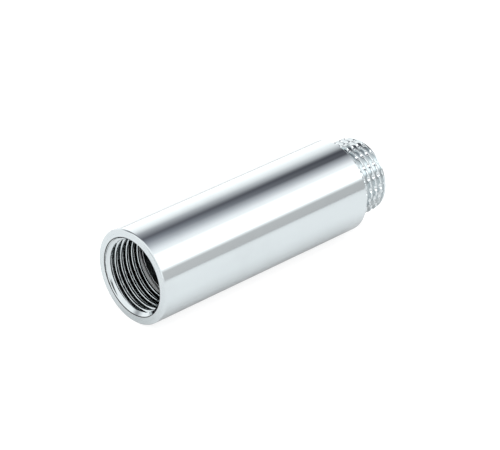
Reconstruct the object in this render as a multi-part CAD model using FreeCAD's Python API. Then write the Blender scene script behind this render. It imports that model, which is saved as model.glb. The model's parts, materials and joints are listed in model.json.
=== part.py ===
import FreeCAD, Part
import math
import os

# A chrome-plated extension nipple for 1/2 inch parallel pipe thread, in millimetres.
# A drawn tube holds a female-threaded bush in its mouth and a male-threaded plug in its far end.
# The origin is the centre of the mouth face, +Y runs along the axis towards the male thread, and +Z is up.

# Pipe thread, 55 degree Whitworth form
thread_diameter = 20.955          # basic major diameter
thread_pitch = 1.814
flank_angle = 27.5                # degrees, each flank from square to the axis
male_allowance = 0.20             # spigot's crest diameter under basic
female_allowance = 0.10           # socket's root diameter over basic
crest_allowance = 0.50            # socket's crest diameter over basic

# Barrel
body_length = 71.0                # mouth face to shoulder
barrel_wall = 1.2
mouth_edge = 0.3                  # edge break round the mouth
shoulder_edge = 0.9               # chamfer round the shoulder

# Threaded socket
wall_over_thread = 1.0225         # bush wall outside the thread's root
socket_length = 16.0
socket_thread_length = 10.6       # mouth face to the end of the last crest
socket_thread_turn = 108.0        # degrees that the thread is turned about the axis
socket_relief_length = 0.9        # groove that the thread runs out into
socket_bore = 18.6                # smooth bore behind the relief
countersink_allowance = 0.29      # countersink diameter over basic
relief_allowance = 0.25           # relief diameter over basic

# Threaded spigot
plug_length = 14.0                # part of the spigot inside the barrel
spigot_length = 9.0               # shoulder to tip
run_out = 0.4                     # plain collar between the shoulder and the thread
spigot_thread_turn = 94.0         # degrees that the thread is turned about the axis
rim_length = 0.5                  # plain rim at the tip
rim_depth = 0.3                   # rim's radius under the thread's crest
notch_count = 20
notch_depth = 0.5
notch_width = 1.8                 # across the crest
notch_turn = -6.0                 # degrees from the +X side to the first notch

# Key socket in the spigot
key_across_flats = 12.0
key_depth = 10.0
key_chamfer = 0.5
key_relief_allowance = 0.15       # round bore over the hexagon's corners

wall_sectors = 8                  # short arcs that the socket's crests are divided into
overshoot = 0.2                   # how far each cutting shape runs past the wall it cuts
seam_places = 8                   # places round a blank that its seam can stand in
least_cut = 0.25                  # share of a thread's groove that has to come out of the blank

# Worked out from the sizes above
thread_depth = thread_pitch / math.tan(math.radians(flank_angle)) / 3
crest_flat = thread_pitch / 6
male_crest = (thread_diameter - male_allowance) / 2
male_root = male_crest - thread_depth
socket_root = (thread_diameter + female_allowance) / 2
socket_crest = (thread_diameter + crest_allowance) / 2 - thread_depth
countersink_radius = (thread_diameter + countersink_allowance) / 2
relief_radius = (thread_diameter + relief_allowance) / 2
barrel_bore = socket_root + wall_over_thread
body_radius = barrel_bore + barrel_wall
relief_end = socket_thread_length + socket_relief_length
tip = body_length + spigot_length
rim_start = tip - rim_length
rim_radius = male_crest - rim_depth
key_floor = tip - key_depth
key_corner = key_across_flats / 2 / math.cos(math.radians(30))
spigot_bore = key_corner + key_relief_allowance / 2

centre = FreeCAD.Vector(0, 0, 0)
along = FreeCAD.Vector(0, 0, 1)
sideways = FreeCAD.Vector(1, 0, 0)


def at(height):
    """A point on the axis."""
    return FreeCAD.Vector(0, 0, height)


def turned(outline):
    """A solid of revolution from a closed outline of (radius, height) points."""
    points = [FreeCAD.Vector(radius, 0, height) for radius, height in outline]
    return Part.Face(Part.makePolygon(points + points[:1])).revolve(centre, along, 360)


def tube(outer, inner, start, end):
    """A plain ring between two heights."""
    length = end - start
    return Part.makeCylinder(outer, length, at(start)).cut(Part.makeCylinder(inner, length, at(start)))


def slice_between(shape, start, end, angle=360):
    """The part of a shape between two heights, or a wedge of it from the zero direction."""
    return shape.common(Part.makeCylinder(2 * body_radius, end - start, at(start), along, angle))


def wedges_between(shape, start, end):
    """The part of a shape between two heights as equal wedges, whose crests are short arcs."""
    step = 360 / wall_sectors
    wedges = []
    for index in range(wall_sectors):
        turned_back = shape.copy()
        turned_back.rotate(centre, along, -index * step)
        wedge = slice_between(turned_back, start, end, step)
        wedge.rotate(centre, along, index * step)
        wedges.append(wedge)
    return wedges


def threaded(blank, turn, root, past_crest, start, end):
    """A blank with the space between a thread's ridges cut out, turned about the axis.

    The space is a trapezoid carried along a right-hand helix: its floor lies at the root radius,
    and its flanks open out until they are past the crest. The blank's seam is moved round until
    the groove comes out of it.
    """
    floor = crest_flat / 2
    mouth = floor + abs(past_crest - root) * math.tan(math.radians(flank_angle))
    corners = [(root, -floor), (past_crest, -mouth), (past_crest, mouth), (root, floor)]
    points = [FreeCAD.Vector(radius, 0, start + height) for radius, height in corners]
    profile = Part.makePolygon(points + points[:1])
    helix = Part.makeHelix(thread_pitch, end - start, root)
    helix.translate(at(start))
    groove = Part.Wire(helix.Edges).makePipeShell([profile], True, True)
    for place in range(seam_places):
        screw = blank.cut(groove)
        if blank.Volume - screw.Volume > least_cut * groove.Volume:
            break
        blank.rotate(centre, along, 360 / seam_places)
    screw.rotate(centre, along, turn)
    return screw


def crest_notches(start, end):
    """Round-bottomed nicks across the male thread's crests, in rows along the axis."""
    cutter_radius = (notch_width ** 2 / 4 + notch_depth ** 2) / (2 * notch_depth)
    place = FreeCAD.Vector(male_crest - notch_depth + cutter_radius, 0, start)
    notch = Part.makeCylinder(cutter_radius, end - start, place)
    notches = []
    for index in range(notch_count):
        copy = notch.copy()
        copy.rotate(centre, along, notch_turn + index * 360 / notch_count)
        notches.append(copy)
    return notches


def make_barrel():
    """The outer tube."""
    return turned([
        (barrel_bore, 0),
        (body_radius - mouth_edge, 0),
        (body_radius, mouth_edge),
        (body_radius, body_length - shoulder_edge),
        (body_radius - shoulder_edge, body_length),
        (barrel_bore, body_length),
    ])


def make_threaded_socket():
    """The bush in the mouth: countersink, female thread, relief groove and smooth bore."""
    sink = countersink_radius - socket_crest
    last_turn = socket_thread_length + socket_relief_length / 2
    nut = tube(barrel_bore, socket_crest, 0, relief_end)
    past_crest = socket_crest - overshoot
    nut = threaded(nut, socket_thread_turn, socket_root, past_crest, -thread_pitch, last_turn)
    nut = nut.cut(Part.makeCylinder(relief_radius, socket_relief_length, at(socket_thread_length)))
    nut = nut.cut(Part.makeCone(countersink_radius, socket_crest, sink))
    mouth_ring = slice_between(nut, 0, sink)
    relief_ring = slice_between(nut, socket_thread_length, relief_end)
    rear_ring = tube(barrel_bore, socket_bore / 2, relief_end, socket_length)
    return mouth_ring.fuse(wedges_between(nut, sink, socket_thread_length) + [relief_ring, rear_ring])


def make_threaded_spigot():
    """The plug in the far end: a plain body in the barrel, a notched male thread and a key socket."""
    thread_start = body_length + run_out
    half_groove = crest_flat / 2 + thread_depth * math.tan(math.radians(flank_angle))
    first_turn, last_turn = thread_start + half_groove, tip + thread_pitch
    screw_length = rim_start - body_length
    bevel = Part.makeCone(rim_radius + screw_length, rim_radius, screw_length)
    bevel.translate(at(body_length))
    screw = Part.makeCylinder(male_crest, spigot_length, at(body_length))
    screw = threaded(screw, spigot_thread_turn, male_root, male_crest + overshoot, first_turn, last_turn)
    screw = screw.cut(crest_notches(thread_start, tip + overshoot)).common(bevel)
    collar = slice_between(screw, body_length, thread_start)
    thread = slice_between(screw, thread_start, rim_start)
    rim = Part.makeCylinder(rim_radius, rim_length, at(rim_start))
    plug_end = body_length - plug_length
    spigot = Part.makeCylinder(barrel_bore, plug_length, at(plug_end)).fuse([collar, thread, rim])
    hexagon = Part.makePolygon([
        FreeCAD.Vector(key_corner * math.cos(angle), key_corner * math.sin(angle), key_floor)
        for angle in (math.radians(60 * corner) for corner in range(7))
    ])
    round_bore = Part.makeCylinder(spigot_bore, key_floor - plug_end, at(plug_end))
    lead_in = Part.makeCone(key_corner - key_chamfer, key_corner + key_chamfer, 2 * key_chamfer)
    lead_in.translate(at(tip - key_chamfer))
    return spigot.cut([round_bore, Part.Face(hexagon).extrude(at(key_depth)), lead_in])


def lay_down(shape):
    """Turns the axis from upright to +Y."""
    laid = shape.copy()
    laid.rotate(centre, sideways, -90)
    return laid


pieces = {
    "barrel": make_barrel(),
    "threaded_socket": make_threaded_socket(),
    "threaded_spigot": make_threaded_spigot(),
}

os.makedirs("parts", exist_ok=True)
for name, shape in pieces.items():
    laid = lay_down(shape)
    solid = laid.Solids[0]
    print(name, "solids", len(laid.Solids), "valid", laid.isValid(), "volume", round(solid.Volume, 1))
    solid.exportStep("parts/" + name + ".step")
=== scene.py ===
import json
import math
import bmesh
import bpy
import numpy as np
from mathutils import Matrix, Vector


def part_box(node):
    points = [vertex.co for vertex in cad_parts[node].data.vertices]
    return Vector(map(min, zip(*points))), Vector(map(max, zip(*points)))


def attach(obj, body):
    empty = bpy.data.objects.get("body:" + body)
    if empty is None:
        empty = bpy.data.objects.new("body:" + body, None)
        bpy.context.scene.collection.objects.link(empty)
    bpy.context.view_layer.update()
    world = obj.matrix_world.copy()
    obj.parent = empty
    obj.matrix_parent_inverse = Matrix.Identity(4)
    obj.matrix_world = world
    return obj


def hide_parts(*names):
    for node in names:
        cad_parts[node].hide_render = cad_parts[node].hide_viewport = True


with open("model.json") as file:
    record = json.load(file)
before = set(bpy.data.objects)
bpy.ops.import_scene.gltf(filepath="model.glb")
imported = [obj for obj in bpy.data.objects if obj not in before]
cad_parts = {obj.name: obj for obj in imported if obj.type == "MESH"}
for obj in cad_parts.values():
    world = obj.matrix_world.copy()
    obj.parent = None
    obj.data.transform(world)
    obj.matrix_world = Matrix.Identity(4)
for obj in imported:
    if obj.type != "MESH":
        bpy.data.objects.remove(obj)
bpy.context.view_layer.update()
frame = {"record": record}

mm = 0.001

# places and radii that every piece shares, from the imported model
mounts = {m["name"]: m for m in frame["record"]["mounts"]}
mouthY = mounts["mouth_face"]["pos_m"][1]
shoulderY = mounts["shoulder_face"]["pos_m"][1]
tipY = mounts["tip_face"]["pos_m"][1]
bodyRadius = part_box("barrel")[1].x
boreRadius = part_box("threaded_socket")[1].x
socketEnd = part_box("threaded_socket")[1].y
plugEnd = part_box("threaded_spigot")[0].y
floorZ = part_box("barrel")[0].z
femaleCrest = mounts["female_thread"]["dims"]["r_mm"] * mm
maleCrest = mounts["male_thread"]["dims"]["r_mm"] * mm

# 55 degree pipe thread, shared by both ends
pipeThread = {
    "pitch": 1.814 * mm,
    "flankAngle": 27.5,     # degrees, from square to the axis
    "crestSoftness": 0.10,  # rounding, as a share of the flank
    "rootSoftness": 0.34,
    "rowsPerPitch": 28,
}
pitch = pipeThread["pitch"]
threadDepth = pitch / math.tan(math.radians(pipeThread["flankAngle"])) / 3


def softLower(a, b, width):
    # the lower of two fields, with their crossing rounded over the given width:
    # min(a, b) - w h^2 / 4, where h falls from 1 at the crossing to 0 where they differ by w
    h = np.maximum(width - np.abs(a - b), 0) / width
    return np.minimum(a, b) - h * h * width / 4


def softHigher(a, b, width):
    return -softLower(-a, -b, width)


def anglesAround(columns):
    return np.arange(columns) * 2 * math.pi / columns


def smoothStep(x):
    x = np.clip(x, 0, 1)
    return x * x * (3 - 2 * x)


def ridgeHeight(angle, y, crestY, top=1.0):
    # height of a right-hand thread's ridge over its root, as a share of the full depth: the distance along the
    # axis from the nearest crest, which moves back one pitch a turn, sets a straight flank that is cut flat at
    # the top and rounded at the crest and at the root
    turn = (y - crestY) / pitch + angle / (2 * math.pi)
    distance = np.abs(turn - np.round(turn))
    flank = (5 / 12 - distance) / (4 / 12)
    return softHigher(softLower(flank, top, pipeThread["crestSoftness"]), 0.0, pipeThread["rootSoftness"])


def roundedOutline(corners, roundings, support=0.04 * mm, arcPoints=6):
    # an outline of (radius, y) points with an arc in each corner: the arc is tangent to both sides, and a point
    # just before and after it keeps the sides' shading flat; the outline's first and last corners are only
    # directions to start from and end at, so a closed outline repeats its first two corners
    corners = np.array(corners, float)
    outline = []
    for here, before, after, rounding in zip(corners[1:-1], corners[:-2], corners[2:], roundings):
        back = (before - here) / np.linalg.norm(before - here)
        ahead = (after - here) / np.linalg.norm(after - here)
        halfAngle = math.acos(np.clip(back @ ahead, -1, 1)) / 2
        run = rounding / math.tan(halfAngle)
        middle = here + (back + ahead) / np.linalg.norm(back + ahead) * rounding / math.sin(halfAngle)
        first, last = here + back * run - middle, here + ahead * run - middle
        sweep = math.pi - 2 * halfAngle
        share = np.linspace(0, 1, arcPoints)[:, None]
        arc = (np.sin((1 - share) * sweep) * first + np.sin(share * sweep) * last) / math.sin(sweep)
        outline += [here + back * (run + support), *(middle + arc), here + ahead * (run + support)]
    return np.array(outline)


def ringRows(outline, columns):
    # rows of a turned surface: each (radius, y) point becomes a full ring of columns
    radius = np.repeat(outline[:, :1], columns, 1)
    along = np.repeat(outline[:, 1:], columns, 1)
    return radius, along


def closedSurface(name, radius, along):
    # a surface from rows of radius and y on even columns, x = radius cos(angle), z = radius sin(angle):
    # columns close round the axis, and the last row joins the first, so the mesh has no edge
    rows, columns = radius.shape
    angles = anglesAround(columns)
    points = np.stack([radius * np.cos(angles), along, radius * np.sin(angles)], -1)
    index = np.arange(rows * columns).reshape(rows, columns)
    nextRow = np.roll(index, -1, 0)
    faces = np.stack([index, nextRow, np.roll(nextRow, -1, 1), np.roll(index, -1, 1)], -1).reshape(-1, 4)
    mesh = bpy.data.meshes.new(name)
    mesh.from_pydata(points.reshape(-1, 3), [], faces)
    shape = bmesh.new()
    shape.from_mesh(mesh)
    bmesh.ops.remove_doubles(shape, verts=shape.verts, dist=1e-8)
    bmesh.ops.recalc_face_normals(shape, faces=shape.faces)
    shape.to_mesh(mesh)
    shape.free()
    mesh.polygons.foreach_set("use_smooth", np.ones(len(mesh.polygons), bool))
    mesh.set_sharp_from_angle(angle=math.radians(38))
    piece = bpy.data.objects.new(name, mesh)
    bpy.context.scene.collection.objects.link(piece)
    print(name, "faces", len(mesh.polygons))
    return piece


# the plain outer tube
barrelShape = {
    "mouthEdge": 0.3 * mm,
    "shoulderEdge": 0.9 * mm,
    "mouthRounding": 0.28 * mm,
    "shoulderRounding": 0.15 * mm,
    "hiddenRounding": 0.02 * mm,
    "columns": 360,
}


def makeBarrel():
    s = barrelShape
    corners = [
        (boreRadius, mouthY),
        (bodyRadius - s["mouthEdge"], mouthY),
        (bodyRadius, mouthY + s["mouthEdge"]),
        (bodyRadius, shoulderY - s["shoulderEdge"]),
        (bodyRadius - s["shoulderEdge"], shoulderY),
        (boreRadius, shoulderY),
    ]
    hidden, mouth, shoulder = s["hiddenRounding"], s["mouthRounding"], s["shoulderRounding"]
    outline = roundedOutline(corners + corners[:2], [mouth, mouth, shoulder, shoulder, hidden, hidden])
    return closedSurface("barrelTube", *ringRows(outline, s["columns"]))


# the female-threaded bush
socketShape = {
    "threadEnd": 10.6 * mm,
    "reliefEnd": 11.5 * mm,
    "boreRadius": 9.3 * mm,
    "sinkRadius": 10.6225 * mm,
    "rootRadius": 10.5275 * mm,
    "reliefRadius": 10.6025 * mm,
    "crestY": 0.363 * mm,       # where a crest stands on the +X side
    "runOut": 0.10 * mm,        # slope from the last crest into the relief
    "lipRounding": 0.16 * mm,
    "edge": 0.05 * mm,
    "hiddenRounding": 0.02 * mm,
    "columns": 360,
}


def makeSocket():
    s = socketShape
    angles = anglesAround(s["columns"])
    threadStart = s["sinkRadius"] - s["rootRadius"]
    rows = int(s["threadEnd"] / pitch * pipeThread["rowsPerPitch"])
    y = np.linspace(threadStart, s["threadEnd"], rows)[:, None] + 0 * angles
    top = (s["rootRadius"] - femaleCrest) / threadDepth
    thread = s["rootRadius"] - threadDepth * ridgeHeight(angles, y, s["crestY"], top)
    radius = softHigher(thread, s["sinkRadius"] - y, s["edge"])
    radius[0] = s["rootRadius"]
    # from the thread through the relief, the step and the smooth bore, and back along the outside
    corners = [
        (femaleCrest, s["threadEnd"]),
        (s["reliefRadius"], s["threadEnd"] + s["runOut"]),
        (s["reliefRadius"], s["reliefEnd"]),
        (s["boreRadius"], s["reliefEnd"]),
        (s["boreRadius"], socketEnd),
        (boreRadius, socketEnd),
        (boreRadius, mouthY),
        (s["sinkRadius"], mouthY),
        (s["rootRadius"], mouthY + threadStart),
    ]
    outline = roundedOutline(corners, [s["edge"]] * 5 + [s["hiddenRounding"], s["lipRounding"]])
    ringRadius, ringAlong = ringRows(outline, s["columns"])
    return closedSurface("femaleThreadBush", np.vstack([radius, ringRadius]), np.vstack([y, ringAlong]))


# the male-threaded plug
spigotShape = {
    "collar": 0.4 * mm,          # plain stretch between the shoulder and the thread
    "rimLength": 0.5 * mm,       # plain rim at the tip
    "rimDepth": 0.3 * mm,        # its radius under the thread's crest
    "rimSlope": 8,               # rise of the step that the rim starts at, over its length
    "tipRounding": 0.12 * mm,
    "tipRows": 8,
    "threadFade": 0.35 * pitch,  # length over which the groove deepens past the collar
    "crestY": 72.59 * mm,        # where a crest stands on the +X side
    "notches": 20,
    "notchDepth": 0.5 * mm,
    "notchWidth": 1.8 * mm,      # across the crest
    "notchTurn": 6.0,            # degrees from the +X side to a notch
    "notchFade": 0.2 * mm,
    "keyFlats": 12.0 * mm,
    "keyLeadIn": 0.5 * mm,
    "keyRows": [0, 0.1, 0.2, 0.3, 0.45, 0.6, 0.75, 0.9, 1.1, 1.3, 1.6, 2.2, 10.0],  # depths, in mm
    "roundBore": 7.003 * mm,
    "edge": 0.04 * mm,
    "hiddenRounding": 0.02 * mm,
    "columns": 540,
}


def hexagonRadius(angle, flats):
    # distance from the axis to a hexagon's side: half the width across flats over the cosine of the angle
    # from the middle of the nearest side
    sixth = math.pi / 3
    return flats / 2 / np.cos(np.mod(angle, sixth) - sixth / 2)


def makeSpigot():
    s = spigotShape
    angles = anglesAround(s["columns"])
    rows = int((tipY - shoulderY) / pitch * pipeThread["rowsPerPitch"])
    rounding = s["tipRounding"]
    tipStart = tipY - rounding
    tipRows = tipStart + rounding * np.sin(np.linspace(0, math.pi / 2, s["tipRows"]))
    y = np.concatenate([np.linspace(shoulderY, tipStart, rows)[:-1], tipRows])[:, None] + 0 * angles
    pastCollar = y - shoulderY - s["collar"]
    groove = 1 - ridgeHeight(angles, y, s["crestY"])
    thread = maleCrest - threadDepth * groove * smoothStep(pastCollar / s["threadFade"])
    # a notch is the near side of a round cutter, whose centre is its own radius above the notch's floor:
    # radius = c cos(angle) - sqrt(cutter^2 - (c sin(angle))^2) from the notch's middle
    depth, width = s["notchDepth"], s["notchWidth"]
    cutter = (width * width / 4 + depth * depth) / (2 * depth)
    centre = maleCrest - depth + cutter
    spacing = 2 * math.pi / s["notches"]
    off = np.mod(angles - math.radians(s["notchTurn"]) + spacing / 2, spacing) - spacing / 2
    inside = cutter ** 2 - (centre * np.sin(off)) ** 2
    notch = np.where(inside > 0, centre * np.cos(off) - np.sqrt(np.maximum(inside, 0)), 2 * maleCrest)
    notch = notch + 2 * depth * (1 - smoothStep(pastCollar / s["notchFade"]))
    # the thread slopes down to the plain rim, and the rim starts at a step
    beforeRim = np.maximum(tipY - s["rimLength"] - y, 0)
    rim = maleCrest - s["rimDepth"]
    radius = softLower(softLower(thread, notch, s["edge"]), rim + beforeRim, s["edge"])
    radius = np.maximum(radius, rim - s["rimSlope"] * beforeRim)
    # the tip's edge is a quarter circle: it drops by r - sqrt(r^2 - t^2), t past its start
    past = np.maximum(y - tipStart, 0)
    radius = radius - rounding + np.sqrt(np.maximum(rounding ** 2 - past ** 2, 0))
    # the tip's flat ring, the lead-in, and the hexagon down to its floor
    keyRadius = hexagonRadius(angles, s["keyFlats"])
    leadRadius = s["keyFlats"] / math.sqrt(3) + s["keyLeadIn"]
    keyDepths = np.array(s["keyRows"])[:, None] * mm
    keyAlong = tipY - keyDepths + 0 * angles
    keyWall = np.maximum(keyRadius, leadRadius - keyDepths)
    floorY = tipY - keyDepths[-1, 0]
    corners = [
        (s["keyFlats"] / 2, floorY),
        (s["roundBore"], floorY),
        (s["roundBore"], plugEnd),
        (boreRadius, plugEnd),
        (boreRadius, shoulderY),
        (maleCrest, shoulderY),
    ]
    outline = roundedOutline(corners, [s["hiddenRounding"]] * 4)
    ringRadius, ringAlong = ringRows(outline, s["columns"])
    radius = np.vstack([radius, keyWall, ringRadius])
    return closedSurface("maleThreadPlug", radius, np.vstack([y, keyAlong, ringAlong]))


class Value:
    # a shader socket: sums and products of sockets and numbers add Math nodes
    def __init__(self, tree, socket=None):
        self.tree = tree
        self.socket = socket

    def node(self, kind, settings={}, inputs={}, output=0):
        made = self.tree.nodes.new(kind)
        for name, setting in settings.items():
            if name == "stops":
                while len(made.color_ramp.elements) < len(setting):
                    made.color_ramp.elements.new(0)
                for element, (place, color) in zip(made.color_ramp.elements, setting):
                    element.position = place
                    element.color = (*color, 1)
            else:
                setattr(made, name, setting)
        for name, given in inputs.items():
            if isinstance(given, Value):
                self.tree.links.new(given.socket, made.inputs[name])
            else:
                made.inputs[name].default_value = given
        return Value(self.tree, made.outputs[output] if made.outputs else None)

    def math(self, operation, *values):
        return self.node("ShaderNodeMath", {"operation": operation}, dict(enumerate(values)))

    def __add__(self, other):
        return self.math("ADD", self, other)

    def __radd__(self, other):
        return self.math("ADD", other, self)

    def __sub__(self, other):
        return self.math("SUBTRACT", self, other)

    def __rsub__(self, other):
        return self.math("SUBTRACT", other, self)

    def __mul__(self, other):
        return self.math("MULTIPLY", self, other)

    def __rmul__(self, other):
        return self.math("MULTIPLY", other, self)

    def __truediv__(self, other):
        return self.math("DIVIDE", self, other)

    def __rtruediv__(self, other):
        return self.math("DIVIDE", other, self)

    def __pow__(self, other):
        return self.math("POWER", self, other)

    def __rpow__(self, other):
        return self.math("POWER", other, self)

    def ramp(self, low, high):
        # 0 below low, 1 above high, and smooth between them
        inputs = {"Value": self, "From Min": low, "From Max": high}
        return self.node("ShaderNodeMapRange", {"interpolation_type": "SMOOTHSTEP"}, inputs)

    def parts(self):
        split = self.node("ShaderNodeSeparateXYZ", {}, {"Vector": self})
        outputs = split.socket.node.outputs
        return [Value(self.tree, outputs[axis]) for axis in "XYZ"]

    def between(self, low, high):
        # this share from 0 to 1 takes one colour to another
        inputs = {"Factor": self, 6: low, 7: high}
        return self.node("ShaderNodeMix", {"data_type": "RGBA"}, inputs, 2)


def noise(start, vector, scale, detail=2.0, roughness=0.5):
    inputs = {"Vector": vector, "Scale": scale, "Detail": detail, "Roughness": roughness}
    return start.node("ShaderNodeTexNoise", {}, inputs)


chromeFinish = {
    "color": (0.540, 0.585, 0.600, 1),
    "smudgeColor": (0.500, 0.540, 0.555, 1),
    # painted shade: darker chrome for the socket's thread roots
    "socketRoot": (0.46, 0.48, 0.49, 1),
    # painted light: lighter chrome for the spigot's thread roots
    "spigotRoot": (0.62, 0.645, 0.655, 1),
    # painted shade: dark grey for the relief groove's wall
    "grooveColor": (0.20, 0.20, 0.20, 1),
    # painted highlight: near white for the step face at the relief's end
    "stepColor": (0.92, 0.94, 0.95, 1),
    # painted shade: dark grey for the smooth bore deep inside
    "boreColor": (0.26, 0.265, 0.27, 1),
    # painted shade: near black for a thin line round the mouth's lip
    "lipColor": (0.05, 0.05, 0.05, 1),
    "roughness": 0.05,
    "satinRoughness": 0.24,
    "smudgeRoughness": 0.03,    # what each of these adds to the roughness
    "lineRoughness": 0.02,
    "rootRoughness": 0.08,
    "stepRoughness": 0.16,
    "boreRoughness": 0.10,
    "lineScale": 5200,
    "smudgeScale": 120,
    "grainScale": 2600,
    "smudgeShare": 0.5,
    "rootShare": 0.85,
    "lineHeight": 0.3,          # heights of the lines, of more lines on the satin face, and of the grain
    "satinHeight": 1.2,
    "grainHeight": 0.1,
    "bumpStrength": 0.12,
    "bumpDistance": 0.01 * mm,
    "satinDepth": (0.12 * mm, 0.04 * mm),   # depths behind the mouth face where the satin finish, the painted root tones and the painted shade line at the lip start and are full
    "rootStart": (0.3 * mm, 1.0 * mm),
    "lipDepth": (0.16 * mm, 0.12 * mm),
    "lipWidth": (0.11 * mm, 0.05 * mm),     # the same outwards from the lip
    "rootDepth": (0.2 * mm, 1.1 * mm),      # and past the thread's crest
}


def chromeMaterial(name, crest=0, outward=1, paintedRootTone=None, inside=None):
    # plated metal: polished outside, satin on the turned mouth face, rougher in the thread's roots, on the step
    # and in the bore; painted shade darkens the socket's thread roots, the relief groove, the bore and a thin
    # line at the lip, a painted highlight lightens the step face, and painted light lightens the spigot's thread
    # roots
    material = bpy.data.materials.new(name)
    material.use_nodes = True
    material.node_tree.nodes.clear()
    start = Value(material.node_tree)
    s = chromeFinish
    place = start.node("ShaderNodeTexCoord", {}, {}, "Object")
    x, y, z = place.parts()
    radius = (x * x + z * z) ** 0.5
    # polishing lines run round the tube, so their pattern is the same all round the axis
    rings = start.node("ShaderNodeCombineXYZ", {}, {"X": y * s["lineScale"], "Y": radius * s["lineScale"]})
    lines = noise(start, rings, 1.0, 3.0, 0.6)
    smudge = noise(start, place, s["smudgeScale"], 3.0, 0.55)
    grain = noise(start, place, s["grainScale"])
    depth = y - mouthY
    satin = depth.ramp(*s["satinDepth"])
    rough = s["roughness"] + smudge.ramp(0.35, 0.75) * s["smudgeRoughness"] + (lines - 0.5) * s["lineRoughness"]
    rough = rough + satin * (s["satinRoughness"] - s["roughness"])
    height = (lines - 0.5) * (s["lineHeight"] + satin * s["satinHeight"]) + (grain - 0.5) * s["grainHeight"]
    color = (smudge.ramp(0.45, 0.8) * s["smudgeShare"]).between(s["color"], s["smudgeColor"])
    if crest:
        # painted tone in the thread roots: painted shade (darker) on the socket, painted light (lighter) on the
        # spigot; both roots are also rougher
        root = ((radius - crest) * outward).ramp(*s["rootDepth"]) * depth.ramp(*s["rootStart"])
        color = (root * s["rootShare"]).between(color, paintedRootTone)
        rough = rough + root * s["rootRoughness"]
    if inside:
        lipRadius, grooveStart, grooveEnd = inside
        # painted highlight: the step face at the relief's end is made near white
        step = depth.ramp(grooveEnd - 0.10 * mm, grooveEnd - 0.02 * mm)
        # painted shade: the relief groove's wall is made dark grey
        groove = depth.ramp(grooveStart - 0.05 * mm, grooveStart + 0.15 * mm) - step
        # painted shade: the smooth bore past the step is made dark, and it is also rougher
        bore = depth.ramp(grooveEnd + 0.05 * mm, grooveEnd + 0.3 * mm)
        # painted shade: a near-black line round the lip where the mouth face meets the countersink
        lip = depth.ramp(*s["lipDepth"]) * (radius - lipRadius).ramp(*s["lipWidth"])
        color = (step - bore).between(color, s["stepColor"])
        color = groove.between(color, s["grooveColor"])
        color = bore.between(color, s["boreColor"])
        color = lip.between(color, s["lipColor"])
        rough = rough + step * s["stepRoughness"] + bore * s["boreRoughness"]
    heights = {"Strength": s["bumpStrength"], "Distance": s["bumpDistance"], "Height": height}
    bump = start.node("ShaderNodeBump", {}, heights)
    inputs = {"Base Color": color, "Metallic": 1.0, "Roughness": rough, "Normal": bump}
    surface = start.node("ShaderNodeBsdfPrincipled", {}, inputs)
    start.node("ShaderNodeOutputMaterial", {}, {"Surface": surface})
    return material


def dress(piece, material, node):
    piece.data.materials.append(material)
    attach(piece, "root")
    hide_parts(node)
    print(piece.name, "dressed in", material.name)


barrel = makeBarrel()
socket = makeSocket()
spigot = makeSpigot()
dress(barrel, chromeMaterial("polishedChrome"), "barrel")
inside = [socketShape[size] for size in ("sinkRadius", "threadEnd", "reliefEnd")]
socketChrome = chromeMaterial("socketChrome", femaleCrest, 1, chromeFinish["socketRoot"], inside)
dress(socket, socketChrome, "threaded_socket")
# the spigot's thread roots carry painted light, lighter than the rest of the chrome
dress(spigot, chromeMaterial("threadChrome", maleCrest, -1, chromeFinish["spigotRoot"]), "threaded_spigot")

# studio: a white table under a tent of soft boxes, with a dark gap in the tent overhead
studio = {
    "floorSize": 12.0,
    "floorColor": (0.57, 0.57, 0.57, 1),
    "floorGlow": 0.13,
    "topLight": (0.7, 0.6, 5.0),   # size and height in metres, and power in watts
    "frontWhite": (1.5, 1.5, 1.5, 1),
    "floorLift": 0.6,          # how far the table seen directly is lifted to white
    "tableWhite": (1.3, 1.3, 1.3, 1),
    "gapFront": 0.12,          # brightness of the opening straight ahead of the mouth
    "nearToFar": (0.54, 0.64),        # where one kind of light turns into the next, by its direction along Y
    "frontToBody": (0.15, 0.40),
    "bandsToWhite": (-0.42, -0.58),
    "whiteToGap": (-0.88, -0.96),
}
# brightness round the axis, in degrees from level on the +X side up towards +Z, where the light runs along the
# body from its mouth end, from its far end, and where it comes from in front of the mouth
nearBands = [
    (-180, (1.5, 1.5, 1.5)), (-60, (1.3, 1.3, 1.3)), (-5, (1.4, 1.4, 1.4)), (-2, (0.86, 0.84, 0.84)),
    (18, (0.89, 0.87, 0.87)), (24, (1.75, 1.75, 1.75)), (30, (3.0, 3.0, 3.0)), (52, (3.0, 3.0, 3.0)),
    (64, (1.60, 1.58, 1.58)), (71, (1.42, 1.42, 1.45)), (77, (1.18, 1.18, 1.22)), (85, (0.82, 0.83, 0.87)),
    (94, (0.53, 0.54, 0.59)), (102, (0.31, 0.32, 0.36)), (108, (0.20, 0.20, 0.23)), (114, (0.31, 0.31, 0.34)),
    (120, (0.42, 0.42, 0.45)), (126, (0.60, 0.60, 0.63)), (132, (1.00, 1.00, 1.02)), (140, (1.45, 1.45, 1.45)),
    (155, (1.8, 1.8, 1.8)),
]
farBands = [
    (-180, (1.5, 1.5, 1.5)), (-60, (1.3, 1.3, 1.3)), (-5, (1.4, 1.4, 1.4)), (-2, (0.79, 0.77, 0.77)),
    (19, (0.82, 0.81, 0.81)), (25, (1.70, 1.70, 1.70)), (31, (3.0, 3.0, 3.0)), (52, (3.0, 3.0, 3.0)),
    (64, (1.64, 1.62, 1.62)), (70, (1.50, 1.48, 1.50)), (75, (1.15, 1.13, 1.16)), (83, (0.72, 0.72, 0.76)),
    (90, (0.42, 0.42, 0.45)), (95, (0.14, 0.14, 0.16)), (101, (0.15, 0.15, 0.17)), (108, (0.11, 0.11, 0.13)),
    (113, (0.28, 0.28, 0.30)), (118, (0.62, 0.62, 0.64)), (125, (0.96, 0.96, 0.98)), (134, (1.36, 1.36, 1.36)),
    (155, (1.8, 1.8, 1.8)),
]
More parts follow.
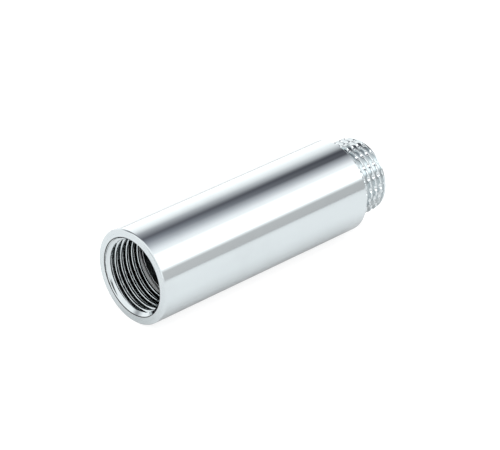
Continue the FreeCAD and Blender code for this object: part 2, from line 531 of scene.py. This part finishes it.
frontBands = [
    (-180, (1.5, 1.5, 1.5)), (-90, (1.2, 1.2, 1.2)), (-10, (1.3, 1.3, 1.3)), (10, (1.2, 1.2, 1.2)),
    (30, (1.5, 1.5, 1.5)), (80, (1.6, 1.6, 1.6)), (96, (1.3, 1.3, 1.3)), (106, (0.35, 0.35, 0.38)),
    (120, (0.14, 0.14, 0.16)), (140, (0.16, 0.16, 0.18)), (152, (0.7, 0.7, 0.72)), (164, (1.5, 1.5, 1.5)),
]


def makeFloor():
    # one flat square with its middle under the piece
    s = studio
    reach = s["floorSize"]
    corners = [(-reach, -reach, floorZ), (reach, -reach, floorZ), (reach, reach, floorZ), (-reach, reach, floorZ)]
    mesh = bpy.data.meshes.new("studioFloor")
    mesh.from_pydata(corners, [], [(0, 1, 2, 3)])
    floor = bpy.data.objects.new("studioFloor", mesh)
    bpy.context.scene.collection.objects.link(floor)
    material = bpy.data.materials.new("paleTable")
    material.use_nodes = True
    material.node_tree.nodes.clear()
    start = Value(material.node_tree)
    inputs = {
        "Base Color": s["floorColor"],
        "Roughness": 0.9,
        "Specular IOR Level": 0.1,
        "Emission Color": (1, 1, 1, 1),
        "Emission Strength": s["floorGlow"],
    }
    table = start.node("ShaderNodeBsdfPrincipled", {}, inputs)
    white = start.node("ShaderNodeEmission", {}, {"Color": s["tableWhite"]})
    seen = start.node("ShaderNodeLightPath", {}, {}, "Is Camera Ray") * s["floorLift"]
    surface = start.node("ShaderNodeMixShader", {}, {0: seen, 1: table, 2: white})
    start.node("ShaderNodeOutputMaterial", {}, {"Surface": surface})
    mesh.materials.append(material)
    print("floor made")


def makeTopLight():
    # a soft box straight above that lights the table and shades it under the piece, unseen in the polish
    size, height, power = studio["topLight"]
    lamp = bpy.data.lights.new("topLight", "AREA")
    lamp.shape = "SQUARE"
    lamp.size = size
    lamp.energy = power
    holder = bpy.data.objects.new("topLight", lamp)
    holder.location = (0, 0, floorZ + height)
    holder.visible_glossy = False
    bpy.context.scene.collection.objects.link(holder)
    print("top light made")


def makeTent():
    # the light from all round: bands round the axis that change along it
    s = studio
    world = bpy.data.worlds.new("studioLight")
    bpy.context.scene.world = world
    world.use_nodes = True
    world.node_tree.nodes.clear()
    start = Value(world.node_tree)
    x, y, z = start.node("ShaderNodeTexCoord", {}, {}, "Generated").parts()
    turn = start.math("ARCTAN2", z, x) / (2 * math.pi) + 0.5

    def bands(stops):
        places = [((degrees + 180) / 360, color) for degrees, color in stops]
        return turn.node("ShaderNodeValToRGB", {"stops": places}, {"Fac": turn})

    alongBody = y.ramp(*s["nearToFar"]).between(bands(nearBands), bands(farBands))
    tent = y.ramp(*s["frontToBody"]).between(bands(frontBands), alongBody)
    tent = y.ramp(*s["bandsToWhite"]).between(tent, s["frontWhite"])
    ahead = y.ramp(*s["whiteToGap"]) * (1 - s["gapFront"])
    tent = ahead.between(tent, (0, 0, 0, 1))
    seen = start.node("ShaderNodeLightPath", {}, {}, "Is Camera Ray")
    color = seen.between(tent, (1, 1, 1, 1))
    light = start.node("ShaderNodeBackground", {}, {"Color": color, "Strength": 1.0})
    start.node("ShaderNodeOutputWorld", {}, {"Surface": light})
    print("tent made")


# the camera looks down on the mouth end: place of the mouth's centre in its view, in body radii
cameraView = {
    "azimuth": 46.99,
    "elevation": 29.39,
    "lens": 169.8,
    "mouthRight": -2.3001,
    "mouthUp": -1.0187,
    "mouthAhead": 45.852,
}


def makeCamera():
    s = cameraView
    a, e = math.radians(s["azimuth"]), math.radians(s["elevation"])
    right = Vector((math.cos(a), math.sin(a), 0))
    ahead = Vector((-math.sin(a) * math.cos(e), math.cos(a) * math.cos(e), -math.sin(e)))
    up = right.cross(ahead)
    mouth = Vector((0, mouthY, 0))
    offset = right * s["mouthRight"] + up * s["mouthUp"] + ahead * s["mouthAhead"]
    camera = bpy.data.cameras.new("productCamera")
    camera.lens = s["lens"]
    camera.sensor_width = 36
    camera.clip_start = 0.01
    camera.clip_end = 100
    holder = bpy.data.objects.new("productCamera", camera)
    turnMatrix = Matrix((right, up, -ahead)).transposed().to_4x4()
    holder.matrix_world = Matrix.Translation(mouth - offset * bodyRadius) @ turnMatrix
    bpy.context.scene.collection.objects.link(holder)
    bpy.context.scene.camera = holder


makeFloor()
makeTopLight()
makeTent()
makeCamera()
bpy.context.scene.view_settings.view_transform = "Standard"
print("camera set")
